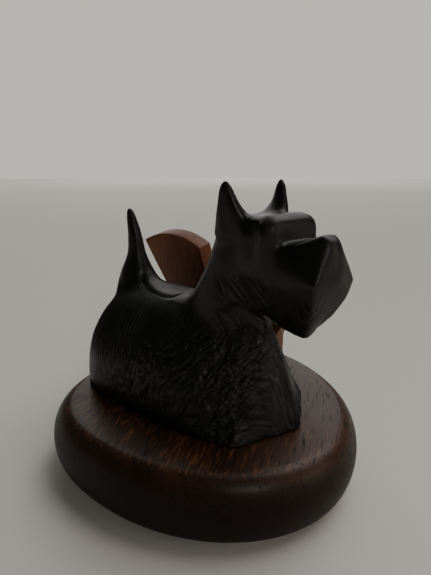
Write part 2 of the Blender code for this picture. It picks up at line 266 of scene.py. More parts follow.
def soften_edges(obj, width, steps):
    """Round the sharp edges of an object."""
    modifier = obj.modifiers.new("edges", "BEVEL")
    modifier.width, modifier.segments, modifier.limit_method = width, steps, "ANGLE"
    modifier.angle_limit = math.radians(30.0)
    return settle(obj)


def points_of(obj):
    """Places and outward directions of an object's points."""
    count = len(obj.data.vertices)
    places, ways = np.empty(count * 3), np.empty(count * 3)
    obj.data.vertices.foreach_get("co", places)
    obj.data.vertices.foreach_get("normal", ways)
    return places.reshape(-1, 3), ways.reshape(-1, 3)


def move_points(obj, places):
    """Write an object's points back."""
    obj.data.vertices.foreach_set("co", np.asarray(places, float).ravel())
    obj.data.update()


def disc(radius, x, y, z, steps=32):
    """A level circle of points."""
    turn = np.arange(steps) * 2.0 * math.pi / steps
    return np.column_stack([x + radius * np.cos(turn), y + radius * np.sin(turn), np.full(steps, z)])


def pilots(places, length):
    """Blind holes for screws' shanks, from below the dog's foot to a length above the heads' seat."""
    levels = (DOG_BOTTOM - MM, BASE_BOTTOM + COUNTERBORE_DEPTH + length)
    return gather("pilots", [tube("pilot", [disc(SCREW_RADIUS + GAP, x, y, z) for z in levels], False)
                             for x, y in places])


def dress(obj, slot, *nodes):
    """A finished piece rides on the only body and stands for CAD nodes; the slot is not used."""
    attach(obj, "root")
    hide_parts(*nodes)
    return obj


# ---------------------------------------------------------------- dog, worked in millimetres

def spline(table, count):
    """Catmull-Rom curve through the rows of a table, as many rows as asked for."""
    rows = np.asarray(table, float)
    rows = np.vstack([2.0 * rows[0] - rows[1], rows, 2.0 * rows[-1] - rows[-2]])
    place = np.linspace(0.0, len(table) - 1.0, count)
    start = np.minimum(place.astype(int), len(table) - 2)
    t = (place - start)[:, None]
    a, b, c, d = (rows[start + k] for k in range(4))
    return 0.5 * (2.0 * b + (c - a) * t + (2.0 * a - 5.0 * b + 4.0 * c - d) * t ** 2
                  + (3.0 * b - a - 3.0 * c + d) * t ** 3)


def trunk():
    """Rump, barrel and chest. Each cross-section is a superellipse arch: y is the half-width times
    cos to the power 2/p, z the height times sin to the power 2/p; a flat floor closes it."""
    stations = spline([
        (RUMP_X, 0.30, 0.37, 2.2), (RUMP_X + 2.5, 0.60, 0.60, 2.3), (RUMP_X + 7.5, 0.84, 0.81, 2.4),
        (RUMP_X + 14.5, 0.95, 0.94, 2.4), (RUMP_X + 24.5, 1.0, 0.99, 2.4), (-20.0, 1.0, 1.0, 2.2),
        (0.0, 1.0, 1.03, 1.9), (18.0, 0.95, 1.07, 1.35), (30.0, 0.87, 0.98, 1.05),
        (35.5, 0.80, 0.76, 1.0), (42.0, 0.42, 0.49, 1.0), (KEEL_X, 0.05, 0.14, 1.0)], 120)
    x, wide, tall, power = (stations[:, k][:, None] for k in range(4))
    turn = np.linspace(0.0, math.pi, 64)[None, :]
    y = FLANK * wide * np.sign(np.cos(turn)) * np.abs(np.cos(turn)) ** (2.0 / power)
    z = BACK * tall * np.abs(np.sin(turn)) ** (2.0 / power)
    arch = np.stack([x + 0.0 * turn, y, z], -1)
    arch[:, 0, 2] = arch[:, -1, 2] = 0.0
    return tube("trunk", arch)


def post(name, levels):
    """A post of level ellipses: each level gives x, z, half-length and half-width."""
    curve = spline(levels, 60)
    x, z, a, b = (curve[:, k][:, None] for k in range(4))
    turn = (np.arange(48) * 2.0 * math.pi / 48)[None, :]
    return tube(name, np.stack([x + a * np.cos(turn), b * np.sin(turn), z + 0.0 * turn], -1))


def neck():
    """Neck that rises and leans forward from the shoulders to the skull."""
    return post("neck", [(12.0, 20.0, 15.0, 13.0), (12.0, 36.0, 18.9, 14.5), (12.9, 47.0, 19.3, 15.2),
                         (14.7, 56.0, 17.7, 15.0), (18.0, 65.0, 15.5, 14.3), (21.5, 76.0, 14.5, 13.5),
                         (22.5, 84.0, 13.5, 12.5)])


def tail():
    """Upright carrot of a tail."""
    return post("tail", [
        (-40.0, 24.0, 17.0, 15.0), (-42.4, 38.0, 16.2, 14.0), (-45.0, 46.0, 13.6, 11.0),
        (-46.4, 51.5, 11.0, 8.8), (-46.8, 57.0, 8.3, 6.7), (-46.7, 63.0, 5.7, 4.6),
        (-47.2, 70.0, 4.1, 3.3), (-48.0, 75.0, 3.5, 2.8), (-49.2, 80.0, 2.7, 2.2),
        (-50.0, 83.6, 1.7, 1.5), (-50.2, 84.9, 0.6, 0.5)])


def to_head(places):
    """Points in the head's own axes: forward, left and up from the middle of the neck."""
    x, y = places[:, 0] - NECK_X, places[:, 1]
    forward = x * math.cos(HEAD_TURN) + y * math.sin(HEAD_TURN)
    return np.column_stack([forward, y * math.cos(HEAD_TURN) - x * math.sin(HEAD_TURN), places[:, 2]])


def from_head(places):
    """Points in the head's own axes, put back on the dog."""
    forward, left, up = np.asarray(places, float).T
    x = NECK_X + forward * math.cos(HEAD_TURN) - left * math.sin(HEAD_TURN)
    return np.column_stack([x, forward * math.sin(HEAD_TURN) + left * math.cos(HEAD_TURN), up])


def both_sides(points):
    """Head points given on the left, on both sides."""
    points = np.asarray(points, float)
    return from_head(np.vstack([points, points * (1.0, -1.0, 1.0)]))


def head_blocks():
    """Skull, overhanging brow, and the axe-shaped muzzle with its kite-shaped front: three convex
    blocks given by their corners as forward, left, up. The muzzle points a little to the left."""
    skull = [(-12.0, 5.4, 80.1), (-12.0, 6.8, 71.2), (-7.5, 8.1, 86.8), (-7.0, 12.6, 82.8),
             (-7.0, 13.5, 69.4), (12.0, 9.0, 88.0), (12.0, 13.0, 83.6), (14.0, 13.2, 66.9),
             (10.0, 8.1, 55.2), (-6.0, 8.1, 62.3)]
    brow = [(6.0, 9.0, 87.6), (16.0, 10.0, 89.6), (20.5, 8.0, 89.0), (17.6, 13.4, 87.2),
            (18.6, 14.4, 83.0), (22.6, 10.5, 87.0), (22.6, 11.4, 81.0), (18.6, 13.6, 76.0),
            (22.0, 11.6, 74.0), (16.0, 12.8, 67.0), (21.0, 11.2, 67.0), (6.0, 10.0, 77.5),
            (8.0, 11.0, 66.0)]
    nose = [(35.3, 4.8, 84.4), (35.3, -2.6, 84.2), (38.9, 3.8, 82.6), (38.9, -1.4, 82.4),
            (40.6, 0.9, 79.0)]
    kite = [(40.0, 11.8, 67.2), (39.6, -8.9, 67.4), (42.0, 1.9, 70.0), (39.4, 10.4, 60.6),
            (37.6, -6.9, 60.0), (36.0, 7.2, 52.6), (33.6, -3.4, 52.0), (28.6, 2.8, 43.2),
            (27.6, 0.0, 43.4)]
    root = [(22.0, 10.2, 78.6), (22.0, -10.0, 78.6), (20.0, 11.8, 73.0), (20.0, -11.8, 73.0),
            (8.0, 12.2, 68.0), (8.0, -12.2, 68.0), (20.0, 12.0, 66.0), (20.0, -12.0, 66.0),
            (8.0, 8.0, 50.0), (8.0, -8.0, 50.0), (20.0, 6.0, 46.3), (20.0, -5.0, 46.6)]
    muzzle = hull("muzzle", from_head(nose + kite + root))
    return [hull("skull", both_sides(skull)), hull("brow", both_sides(brow)), muzzle]


def ear(side):
    """Upright ear: each level gives forward and outward place of the middle, height, and the
    half-sizes of a superellipse section whose front end is turned inwards."""
    levels = spline([
        (-1.0, 6.4, 70.0, 9.0, 5.6), (-0.6, 7.4, 77.0, 9.6, 6.2), (-0.2, 8.6, 81.0, 9.8, 6.4),
        (0.0, 9.7, 84.5, 8.9, 5.8), (0.0, 11.7, 88.0, 7.2, 4.4), (0.1, 13.4, 91.5, 5.6, 3.1),
        (-0.2, 14.1, 94.5, 4.5, 2.6), (-0.5, 14.3, 97.3, 3.6, 2.2), (-0.7, 14.5, 99.6, 2.6, 1.7),
        (-0.8, 14.5, 101.5, 1.2, 0.9)], 40)
    forward, out, up, long, wide = (levels[:, k][:, None] for k in range(5))
    turn = (np.arange(40) * 2.0 * math.pi / 40)[None, :]
    along = long * np.sign(np.cos(turn)) * np.abs(np.cos(turn)) ** 0.85
    across = wide * np.sign(np.sin(turn)) * np.abs(np.sin(turn)) ** 0.85
    u = forward + along * math.cos(EAR_TURN) + across * math.sin(EAR_TURN)
    v = side * (out + across * math.cos(EAR_TURN) - along * math.sin(EAR_TURN))
    rings = np.stack([u, v, up + 0.0 * turn], -1)
    return tube("ear", from_head(rings.reshape(-1, 3)).reshape(rings.shape))


def clay():
    """All of the dog's blocks in one lump, with one even skin."""
    blocks = [trunk(), neck(), tail()] + head_blocks() + [ear(-1), ear(1)]
    dog = add_object("terrier", gather("clay", blocks))
    places, _ = points_of(dog)
    move_points(dog, places * MM + (0.0, 0.0, DOG_BOTTOM))
    skin = dog.modifiers.new("skin", "REMESH")
    skin.mode, skin.voxel_size, skin.adaptivity = "VOXEL", CLAY_SIZE, 0.0
    return settle(dog)


def neighbour_mean(places, edges, counts):
    """The mean of each point's neighbours along the edges."""
    first, second = edges.T
    count = len(places)
    total = [np.bincount(first, column[second], count) + np.bincount(second, column[first], count)
             for column in places.T]
    return np.stack(total, -1) / counts[:, None]


def blend_blocks(places, edges):
    """Even out the skin: a long blend where tail, neck and trunk meet, a shorter one on the head,
    and a light one everywhere that keeps the ridges of brow and muzzle. In each round every point
    moves a share of the way to the mean of its neighbours; the share is its place's weight."""
    counts = np.maximum(np.bincount(edges.ravel(), minlength=len(places)), 1)
    x, y, h = places.T
    u, v, _ = to_head(places).T
    floor = ease(0.6, 4.0, h)

    # Places of the long blend, on the dog's trunk
    tail_root = bell(x + 50.0, 19.0) * band(h, 26.0, 36.0, 60.0, 70.0)
    nape = band(x, -14.0, -4.0, 24.0, 33.0) * band(h, 34.0, 42.0, 60.0, 72.0)
    chest = band(x, 20.0, 26.0, 38.0, 43.0) * band(h, 26.0, 34.0, 48.0, 54.0)
    back = 0.6 * band(x, -60.0, -50.0, 6.0, 14.0) * ease(24.0, 32.0, h) * (1.0 - ease(52.0, 60.0, h))
    long = np.clip(tail_root + nape + chest + back, 0.0, 1.0) * floor

    # Places of the short blend, on the head
    ears = band(u, -12.0, -9.0, 11.0, 16.0) * band(h, 80.0, 84.0, 91.0, 96.0)
    jaw = 0.8 * band(u, -4.0, 2.0, 20.0, 27.0) * band(h, 46.0, 54.0, 74.0, 79.0)
    crown = 0.9 * band(u, -8.0, -2.0, 13.0, 17.0) * ease(80.0, 84.0, h)
    cheek = band(u, 10.0, 15.0, 32.0, 37.0) * band(h, 44.0, 50.0, 79.0, 83.0)
    stop = 0.8 * band(u, 21.0, 24.0, 33.0, 38.0) * ease(72.0, 78.0, h)
    overhang = 0.3 * band(u, 12.0, 16.0, 24.0, 28.0) * ease(72.0, 80.0, h)
    front = 0.4 * ease(35.5, 38.5, u) * (1.0 - ease(4.5, 8.0, np.abs(v - 1.5)))
    brow = 0.45 * band(u, 14.0, 18.0, 28.0, 31.0) * ease(80.0, 84.0, h)
    chin = 0.5 * ease(29.0, 33.0, u) * band(h, 46.0, 52.0, 60.0, 67.0)
    short = np.clip(front + chin + ears + jaw + crown + stop + cheek + overhang + brow, 0.0, 1.0)

    # The light blend everywhere, less on the ears' tips and the tail
    tips = 0.35 * ease(92.0, 97.0, h) + 0.35 * ease(66.0, 70.0, h) * (1.0 - ease(-38.0, -30.0, x))
    light = (0.55 - tips) * floor
    for rounds, weight in ((LONG_ROUNDS, long), (SHORT_ROUNDS, short), (LIGHT_ROUNDS, light)):
        for _ in range(rounds):
            middle = neighbour_mean(places, edges, counts)
            places = places + SMOOTHING * weight[:, None] * (middle - places)
    return places


def carve(places):
    """The larger cuts, as heights in millimetres along the outward direction: hollows of the ears,
    the stop between brow and muzzle, the crescent beside the saddle, the furrow behind the
    foreleg, and the edges of the chest's front. Each is a bell curve across its line, times eased
    bands that end it."""
    x, y, h = places.T
    u, v, _ = to_head(places).T
    side = np.abs(y)
    height = np.zeros(len(places))

    # Hollows of the ears, and the stop
    wide = 1.2 + 0.16 * (h - 82.0).clip(0.0, 20.0)
    hollow = bell(u - 0.3, wide) * band(h, 79.5, 88.0, 93.0, 99.0)
    height -= 0.6 * hollow * ease(12.5, 15.0, np.abs(v) + 0.4 * u)
    height -= 0.4 * bell(u - 28.5, 5.0) * ease(79.0, 83.0, h) * (1.0 - ease(6.0, 11.0, np.abs(v)))

    # The brow's rear end stands a little proud of the temple
    step = ease(15.6, 16.8, u) * (1.0 - ease(18.0, 22.0, u)) * band(h, 77.0, 80.0, 86.0, 88.5)
    height += 0.3 * step * ease(11.0, 13.0, np.abs(v))
    temple = band(u, 6.0, 11.0, 14.4, 16.4) * band(h, 72.0, 79.0, 84.0, 88.0)
    height -= 0.4 * temple * ease(9.0, 12.0, np.abs(v))

    # The crescent beside the saddle
    rim = np.interp(x, [-41.0, -37.0, -28.4, -20.4, -14.9, -11.0], [3.5, 5.6, 8.3, 9.9, 9.2, 4.0])
    crescent = band(x, -42.0, -38.0, -15.0, -9.0) * ease(44.0, 46.0, h) * (1.0 - ease(53.0, 56.0, h))
    height -= 0.5 * crescent * bell(side - rim, 1.7)
    height += 0.2 * crescent * bell(side - rim + 3.6, 2.4)

    # The furrow behind the foreleg, and the edges of the chest's front
    flat = np.column_stack([x, h])
    furrow = [(21.5, 35.0), (19.6, 28.8), (16.4, 24.1), (18.3, 17.9), (23.9, 10.7), (27.2, 0.0)]
    near = np.min([line_distance(flat, a, b) for a, b in zip(furrow, furrow[1:])], axis=0)
    height -= 0.6 * bell(near, 1.2) * ease(11.0, 15.0, side)
    edge = 4.0 + 0.22 * (35.0 - h).clip(0.0, 40.0)
    height += 0.5 * bell(side - edge, 3.0) * ease(30.0, 34.0, x) * (1.0 - ease(40.0, 48.0, h))
    return height


def ridges(height):
    """Turn smooth lumps into sharp furrows: 0 on the lands, -1 in the cuts."""
    return -bell(height, CUT_WIDTH)


def tool_fur(places):
    """The tooled fur, as heights in millimetres along the outward direction. The flank's grooves
    are a raised cosine of x, leant by the slant and let wander; every other stroke is a furrow
    along the zero lines of lumps that are stretched the way the hair lies. Eased bands end each
    patch of fur, and all of it fades out just above the foot."""
    x, y, h = places.T
    side = np.abs(y)
    height = np.zeros(len(places))

    # Even grooves that fall from the back over flank and rump, raked back at the nape
    slant = 0.83 * ease(-22.0, 5.0, x)
    wander = 0.30 * lumps(x / 11.0, h / 9.0, side / 9.0, 11)
    turns = (x - slant * (h - 46.0)) / GROOVE_SPACING + wander
    groove = (0.5 + 0.5 * np.cos(2.0 * math.pi * turns)) ** 1.5
    rim = np.interp(x, [-62.0, -41.0, -37.0, -28.4, -20.4, -14.9, -5.0, 6.0],
                    [0.0, 5.0, 6.2, 9.0, 10.6, 10.4, 11.5, 13.2])
    flank = band(x, -63.0, -58.0, -4.0, 9.0) * ease(-0.5, 1.8, side - rim)
    lowest = 15.0 + 20.0 * ease(-22.0, -8.0, x)
    flank = flank * ease(0.0, 14.0, h - lowest) * (1.0 - ease(56.0, 62.0, h))
    flank = flank * (1.0 - ease(45.0, 52.0, h) * (1.0 - ease(-32.0, -22.0, x)))
    flank = flank * (0.75 + 0.35 * lumps(x / 6.0, h / 5.0, side / 5.0, 12))
    height -= GROOVE_DEPTH * flank * groove

    # Shorter, rougher cuts lower down, dying out at the rump
    raked = x - 0.6 * ease(-30.0, 25.0, x) * (h - 30.0)
    rough = ridges(lumps(raked / 2.0, h / 5.5, side / 6.0, 13))
    rough = rough + 0.7 * ridges(lumps(raked / 1.5 + 5.0, h / 3.8, side / 5.0, 14))
    highest = 24.0 + 14.0 * ease(-20.0, -4.0, x)
    lower = (1.0 - ease(0.0, 10.0, h - highest)) * band(x, -60.0, -34.0, 34.0, 40.0)
    lower = lower * (0.3 + 0.7 * ease(-40.0, -14.0, x))
    height += 0.38 * lower * rough + 0.20 * lower * lumps(x / 2.0, h / 3.2, side / 3.0, 15)

    # Slanting strokes down the neck
    along, across = 0.54 * x - 0.84 * h, 0.84 * x + 0.54 * h
    strokes = ridges(lumps(across / 1.8, along / 9.0, side / 7.0, 16))
    strokes = strokes + 0.5 * ridges(lumps(across / 1.3 + 7.0, along / 7.0, side / 6.0, 24))
    throat = ease(13.0, 18.0, x) * band(h, 34.0, 41.0, 60.0, 68.0) * (1.0 - ease(35.0, 41.0, x))
    height += 0.52 * throat * strokes

    # Chiselled hooks on the shoulder
    shoulder = bell(x - 21.0, 8.0) * bell(h - 31.0, 9.0)
    hooks = ridges(lumps((x + 0.8 * h) / 2.4, (h - 0.8 * x) / 8.5, side / 7.0, 17))
    hooks = hooks + 0.6 * ridges(lumps((0.6 * x + h) / 1.8, (0.6 * h - x) / 6.5, side / 6.0, 18))
    height += 0.42 * shoulder * hooks

    # Foreleg hair that lies forwards
    along, across = 0.88 * x - 0.47 * h, 0.47 * x + 0.88 * h
    hair = ridges(lumps(across / 1.6, along / 11.0, side / 8.0, 19))
    hair = hair + 0.5 * lumps(across / 1.3, along / 5.5, side / 4.0, 20)
    outside = side - 0.22 * (35.0 - h)
    leg = ease(17.0, 24.0, x) * (1.0 - ease(26.0, 34.0, h)) * ease(4.0, 8.0, outside)
    height += 0.38 * leg * hair

    # Upright hair down the chest's front
    upright = ridges(lumps(y / 1.2, h / 7.0, x / 6.0, 21)) + 0.5 * lumps(y / 1.1, h / 4.5, x / 5.0, 22)
    chest = ease(31.0, 36.0, x) * (1.0 - ease(44.0, 50.0, h)) * (1.0 - ease(3.0, 7.0, outside))
    height += 0.26 * chest * upright

    # Beard hair towards its tip
    u, v, _ = to_head(places).T
    along, across = 0.48 * u + 0.88 * h, 0.88 * u - 0.48 * h
    beard = ease(20.0, 28.0, u) * (1.0 - ease(52.0, 68.0, h)) * ease(41.0, 43.0, h)
    height += 0.20 * beard * ridges(lumps((across + np.abs(v)) / 2.0, along / 12.0, v / 6.0, 23))
    return height * ease(0.2, 1.6, h)


def make_terrier():
    """The dog: blocks joined under one skin, blended, carved and tooled, with pilot holes for its
    screws. The depth of the tooling is kept on its points for the finish, which paints shade into the
    cuts."""
    dog = clay()
    edges = np.empty(len(dog.data.edges) * 2, int)
    dog.data.edges.foreach_get("vertices", edges)
    places, _ = points_of(dog)
    offset = np.array([0.0, 0.0, DOG_BOTTOM])
    places = blend_blocks((places - offset) / MM, edges.reshape(-1, 2))
    places[:, 2] = places[:, 2].clip(0.0)
    for heights in (carve, tool_fur):
        move_points(dog, places * MM + offset)
        _, ways = points_of(dog)
        height = heights(places)
        places = places + height[:, None] * ways
        places[:, 2] = places[:, 2].clip(0.0)
    move_points(dog, places * MM + offset)
    depth = dog.data.attributes.new("cut_depth", "FLOAT", "POINT")
    depth.data.foreach_set("value", np.clip(-height / FULL_CUT, 0.0, 1.0).astype(np.float32))
    dog.modifiers.new("thin", "DECIMATE").ratio = CLAY_KEPT
    settle(dog)
    dog.data.shade_smooth()
    cut(dog, pilots(DOG_SCREWS, DOG_PILOT))
    return dress(dog, "black_figure", "dog_figure")


# ---------------------------------------------------------------- base, pad, board and strips

def plan(inset, z, share=1.0):
    """Plan of the base, drawn in by an inset and shrunk about its middle: an ellipse ahead of the
    widest point, and a superellipse behind it."""
    turn = np.arange(BASE_SIDES) * 2.0 * math.pi / BASE_SIDES
    along, across = np.cos(turn), np.sin(turn)
    ahead = along >= 0.0
    power = np.where(ahead, BASE_FRONT_POWER, BASE_REAR_POWER)
    reach = np.where(ahead, BASE_FRONT_X - BASE_WIDEST_X, BASE_WIDEST_X - BASE_REAR_X) - inset
    half = np.where(across >= 0.0, BASE_LEFT, BASE_RIGHT) - inset
    x = BASE_WIDEST_X + share * reach * np.sign(along) * np.abs(along) ** (2.0 / power)
    y = share * half * np.sign(across) * np.abs(across) ** (2.0 / power)
    return np.column_stack([x, y, np.full(BASE_SIDES, z)])


def screw_ways():
    """Counterbored ways for the four screws, as one cutting solid."""
    wide, narrow = SCREW_HEAD_RADIUS + GAP, SCREW_RADIUS + GAP
    floor = BASE_BOTTOM + COUNTERBORE_DEPTH
    levels = ((wide, BASE_BOTTOM - MM), (wide, floor), (narrow, floor), (narrow, BASE_TOP + MM))
    return gather("screw_ways", [tube("way", [disc(radius, x, y, z) for radius, z in levels], False)
                                 for x, y in DOG_SCREWS + BOARD_SCREWS])


def make_pebble():
    """The base: its side is two quarter ellipses that meet at the equator, its faces are flat."""
    equator = BASE_THICKNESS * BASE_EQUATOR
    rings = [plan(BASE_BOTTOM_ROUND, BASE_BOTTOM, share) for share in np.linspace(0.15, 0.95, 6)]
    for bend in np.linspace(0.0, 0.5 * math.pi, 15):
        level = BASE_BOTTOM + equator * (1.0 - math.cos(bend))
        rings.append(plan(BASE_BOTTOM_ROUND * (1.0 - math.sin(bend)), level))
    for bend in np.linspace(0.0, 0.5 * math.pi, 19)[1:]:
        level = BASE_BOTTOM + equator + (BASE_THICKNESS - equator) * math.sin(bend)
        rings.append(plan(BASE_TOP_ROUND * (1.0 - math.cos(bend)), level))
    rings += [plan(BASE_TOP_ROUND, BASE_TOP, share) for share in np.linspace(0.95, 0.15, 10)]
    base = add_object("walnut_pebble", tube("walnut_pebble", rings))
    cut(base, screw_ways())
    base.data.set_sharp_from_angle(angle=math.radians(50.0))
    return dress(base, "dark_wood", "base")


def make_felt():
    """The pad: a thin disc in the base's plan whose cut edge is a little rounded."""
    rings = [plan(FELT_INSET + FELT_EDGE, 0.0, share) for share in (0.2, 0.6, 0.9, 1.0)]
    rings += [plan(FELT_INSET, FELT_EDGE), plan(FELT_INSET, FELT_TOP - FELT_EDGE)]
    rings += [plan(FELT_INSET + FELT_EDGE, FELT_TOP, share) for share in (1.0, 0.9, 0.6, 0.2)]
    return dress(add_object("felt_disc", tube("felt_disc", rings)), "felt", "felt_pad")


def board_half():
    """Offsets and heights of one half of the board, foot to notch floor: an eased flare, an
    arched crown as a parabola, and a notch with straight cheeks and a round foot."""
    heights = np.linspace(0.0, BOARD_CORNER_HEIGHT, 40)
    share = np.clip((heights - BOARD_FLARE_FOOT) / (BOARD_CORNER_HEIGHT - BOARD_FLARE_FOOT), 0.0, 1.0)
    flare = share ** 1.3 * (1.0 - 0.25 * share) / 0.75
    edge = np.column_stack([BOARD_FOOT_HALF + (BOARD_TOP_HALF - BOARD_FOOT_HALF) * flare, heights])
    share = np.linspace(0.0, 1.0, 26)[1:-1]
    crown = np.column_stack([BOARD_TOP_HALF + share * (NOTCH_TOP_HALF - BOARD_TOP_HALF),
                             BOARD_CORNER_HEIGHT + BOARD_ARCH_RISE * 4.0 * share * (1.0 - share)])
    share = np.linspace(0.0, 1.0, 14)
    cheek = np.column_stack([NOTCH_TOP_HALF + share * (NOTCH_FOOT_HALF - NOTCH_TOP_HALF),
                             BOARD_CORNER_HEIGHT + share * (NOTCH_FOOT_HEIGHT - BOARD_CORNER_HEIGHT)])
    turn = np.linspace(0.0, 0.5 * math.pi, 10)[1:]
    foot = np.column_stack([NOTCH_FOOT_HALF * np.cos(turn),
                            NOTCH_FOOT_HEIGHT - NOTCH_FOOT_HALF * np.sin(turn)])
    return np.vstack([edge, crown, cheek, foot])


def board_ring(y, rise):
    """Closed outline of the board in one upright plane; the upper half is stretched so that the
    tops stand higher by the rise."""
    right = board_half()
    left = right[-2::-1] * (-1.0, 1.0)
    offset, height = np.vstack([right, left]).T
    low = 0.5 * BOARD_CORNER_HEIGHT
    height = height + rise * np.maximum(0.0, (height - low) / low)
    return np.column_stack([BOARD_MIDDLE_X + offset, np.full(len(offset), y), DOG_BOTTOM + height])


def strip_box(side, low, high, width, spare):
    """Corners of one slanted bar on the board's front, between two depths."""
    outer = np.array([BOARD_MIDDLE_X + side * STRIP_OUTER_OFFSET, DOG_BOTTOM + STRIP_OUTER_HEIGHT])
    way = np.array([-side * math.cos(STRIP_SLOPE), -math.sin(STRIP_SLOPE)])
    across = np.array([way[1], -way[0]]) * 0.5 * width
    corners = []
    for reach in (-spare, STRIP_LENGTH + spare):
        for half in (-1.0, 1.0):
            x, z = outer + way * reach + across * half
            corners += [(x, BOARD_FRONT_Y + depth, z) for depth in (low, high)]
    return corners


def make_board():
    """The rest board: its outline carried through its thickness, with worn edges, two slots for
    the strips and two screw holes."""
    front = board_ring(BOARD_FRONT_Y, 0.0)
    back = board_ring(BOARD_FRONT_Y + BOARD_THICKNESS, BOARD_TOP_BEVEL)
    count = len(front)
    ends = [list(range(count))[::-1], list(range(count, 2 * count))]
    side = np.arange(count)
    after = (side + 1) % count
    quads = np.stack([side, after, after + count, side + count], -1).tolist()
    body = put_mesh("red_board", np.vstack([front, back]), quads + ends, False)
    board = add_object("red_board", body)
    soften_edges(board, BOARD_EDGE, 3)
    deep = STRIP_THICKNESS - STRIP_PROUD + GAP
    slots = [hull("slot", strip_box(side, -MM, deep, STRIP_WIDTH + 2.0 * GAP, GAP)) for side in (-1, 1)]
    cut(board, gather("slots", slots))
    cut(board, pilots(BOARD_SCREWS, BOARD_PILOT))
    board.data.shade_smooth()
    board.data.set_sharp_from_angle(angle=math.radians(32.0))
    return dress(board, "board_wood", "rest_board")


def make_strip(name, side, node):
    """A brass strip: a slanted bar with rounded arrises."""
    corners = strip_box(side, -STRIP_PROUD, STRIP_THICKNESS - STRIP_PROUD, STRIP_WIDTH, 0.0)
    strip = add_object(name, hull(name, corners))
    soften_edges(strip, STRIP_EDGE, 4)
    strip.data.shade_smooth()
    return dress(strip, "brass", node)


# ---------------------------------------------------------------- finishes

class Amount:
    """A number, colour or direction that varies over a surface: a socket that takes part in sums."""

    def __init__(self, nodes, socket):
        self.nodes, self.socket = nodes, socket

    def sum(self, operation, *values):
        """One sum with one or two terms."""
        return self.nodes.node("Math", {"operation": operation}, *values)

    def __add__(self, other):
        return self.sum("ADD", self, other)

    def __radd__(self, other):
        return self.sum("ADD", other, self)

    def __sub__(self, other):
        return self.sum("SUBTRACT", self, other)

    def __rsub__(self, other):
        return self.sum("SUBTRACT", other, self)

    def __mul__(self, other):
        return self.sum("MULTIPLY", self, other)

    def __rmul__(self, other):
        return self.sum("MULTIPLY", other, self)

    def between(self, low, high, to_low=0.0, to_high=1.0):
        """The amount carried smoothly from one range to another, and held at its ends."""
        settings = {"interpolation_type": "SMOOTHSTEP"}
        return self.nodes.node("MapRange", settings, self, low, high, to_low, to_high)


class Nodes:
    """A tree of nodes, of a material or of the room."""

    def __init__(self, tree):
        self.tree = tree

    def node(self, kind, settings, *values, output=0, **named):
        """Add a node: its settings first, then the values or links of its sockets, in their order
        or by name. None leaves a socket as it is."""
        made = self.tree.nodes.new("ShaderNode" + kind)
        for name, value in settings.items():
            setattr(made, name, value)
        by_name = [(key.replace("_", " "), value) for key, value in named.items()]
        for key, value in list(enumerate(values)) + by_name:
            if value is not None:
                self.join(value, made.inputs[key])
        return Amount(self, made.outputs[output])

    def join(self, value, socket):
        """Link a varying amount to a socket, or write a constant on it."""
        if isinstance(value, Amount):
            self.tree.links.new(value.socket, socket)
        elif isinstance(value, tuple) and len(value) == 3 and socket.type == "RGBA":
            socket.default_value = (*value, 1.0)
        else:
            socket.default_value = value


class Finish(Nodes):
    """A material built of nodes round one Principled shader."""

    def __init__(self, name, **values):
        self.material = bpy.data.materials.new(name)
        self.material.use_nodes = True
        super().__init__(self.material.node_tree)
        self.shader = self.tree.nodes["Principled BSDF"]
        self.set(**values)
        self.object_place = self.node("TexCoord", {}, output="Object")

    def set(self, **values):
        """Set the shader's sockets by name."""
        for name, value in values.items():
            self.join(value, self.shader.inputs[name.replace("_", " ")])

    def place(self, scale=(1.0, 1.0, 1.0), turn=(0.0, 0.0, 0.0), shift=(0.0, 0.0, 0.0)):
        """Object coordinates, shifted, turned, then stretched by the scale in lumps per metre."""
        still = (1.0, 1.0, 1.0)
        turned = self.node("Mapping", {"vector_type": "POINT"}, self.object_place, shift, turn, still)
        return self.node("VectorMath", {"operation": "MULTIPLY"}, turned, scale)

    def noise(self, where, detail=3.0, rough=0.55, twist=0.0):
        """Soft random values round 0.5."""
        return self.node("TexNoise", {"noise_dimensions": "3D"}, where, Scale=1.0, Detail=detail,
                         Roughness=rough, Distortion=twist)

    def mix(self, share, first, second):
        """A colour between two others."""
        settings = {"data_type": "RGBA", "blend_type": "MIX"}
        return self.node("Mix", settings, share, *[None] * 5, first, second, output=2)

    def bump(self, height, depth, strength):
        """Relief whose height of 1 stands a given depth in metres."""
        return self.node("Bump", {}, Strength=strength, Distance=depth, Height=height)


def black_satin():
    """The dog: near-black satin with a painted grey highlight on its ridges and lands and painted shade
    in the cuts, with fine hair-like scratches in the tooled parts and a faint cloudy sheen on the
    smooth ones."""
    f = Finish("black_satin", Specular_IOR_Level=0.34)
    depth = {"attribute_type": "GEOMETRY", "attribute_name": "cut_depth"}
    cuts = f.node("Attribute", depth, output="Fac")
    cloud = f.noise(f.place((90.0,) * 3), detail=4.0)
    speck = f.noise(f.place((1400.0,) * 3), detail=2.0, rough=0.6)
    lean = (0.0, math.radians(18.0), 0.0)
    hair = f.noise(f.place((1300.0, 500.0, 240.0), lean), detail=3.0, twist=0.6)
    # painted highlight: ridges and lands, found by their pointiness, are mixed towards grey
    ridge_highlight = f.node("NewGeometry", {}, output="Pointiness").between(0.50, 0.56)
    tone = f.mix(cloud.between(0.35, 0.7), (0.0020, 0.0020, 0.0021), (0.0042, 0.0042, 0.0040))
    tone = f.mix(ridge_highlight * 0.6, tone, (0.020, 0.0195, 0.0185))
    tone = f.mix(speck.between(0.60, 0.74) * 0.25, tone, (0.024, 0.0235, 0.0225))
    # painted shade: the cuts are darkened towards black by their depth
    tone = f.mix(cuts.between(0.15, 0.9), tone, (0.0004, 0.0004, 0.0004))
    rough = 0.30 + 0.12 * cloud.between(0.3, 0.7) + 0.07 * speck.between(0.4, 0.7) + 0.35 * cuts
    f.set(Base_Color=tone, Roughness=rough)
    f.set(Normal=f.bump(0.7 * hair + 0.3 * speck, 0.00010, 0.55))
    return f.material


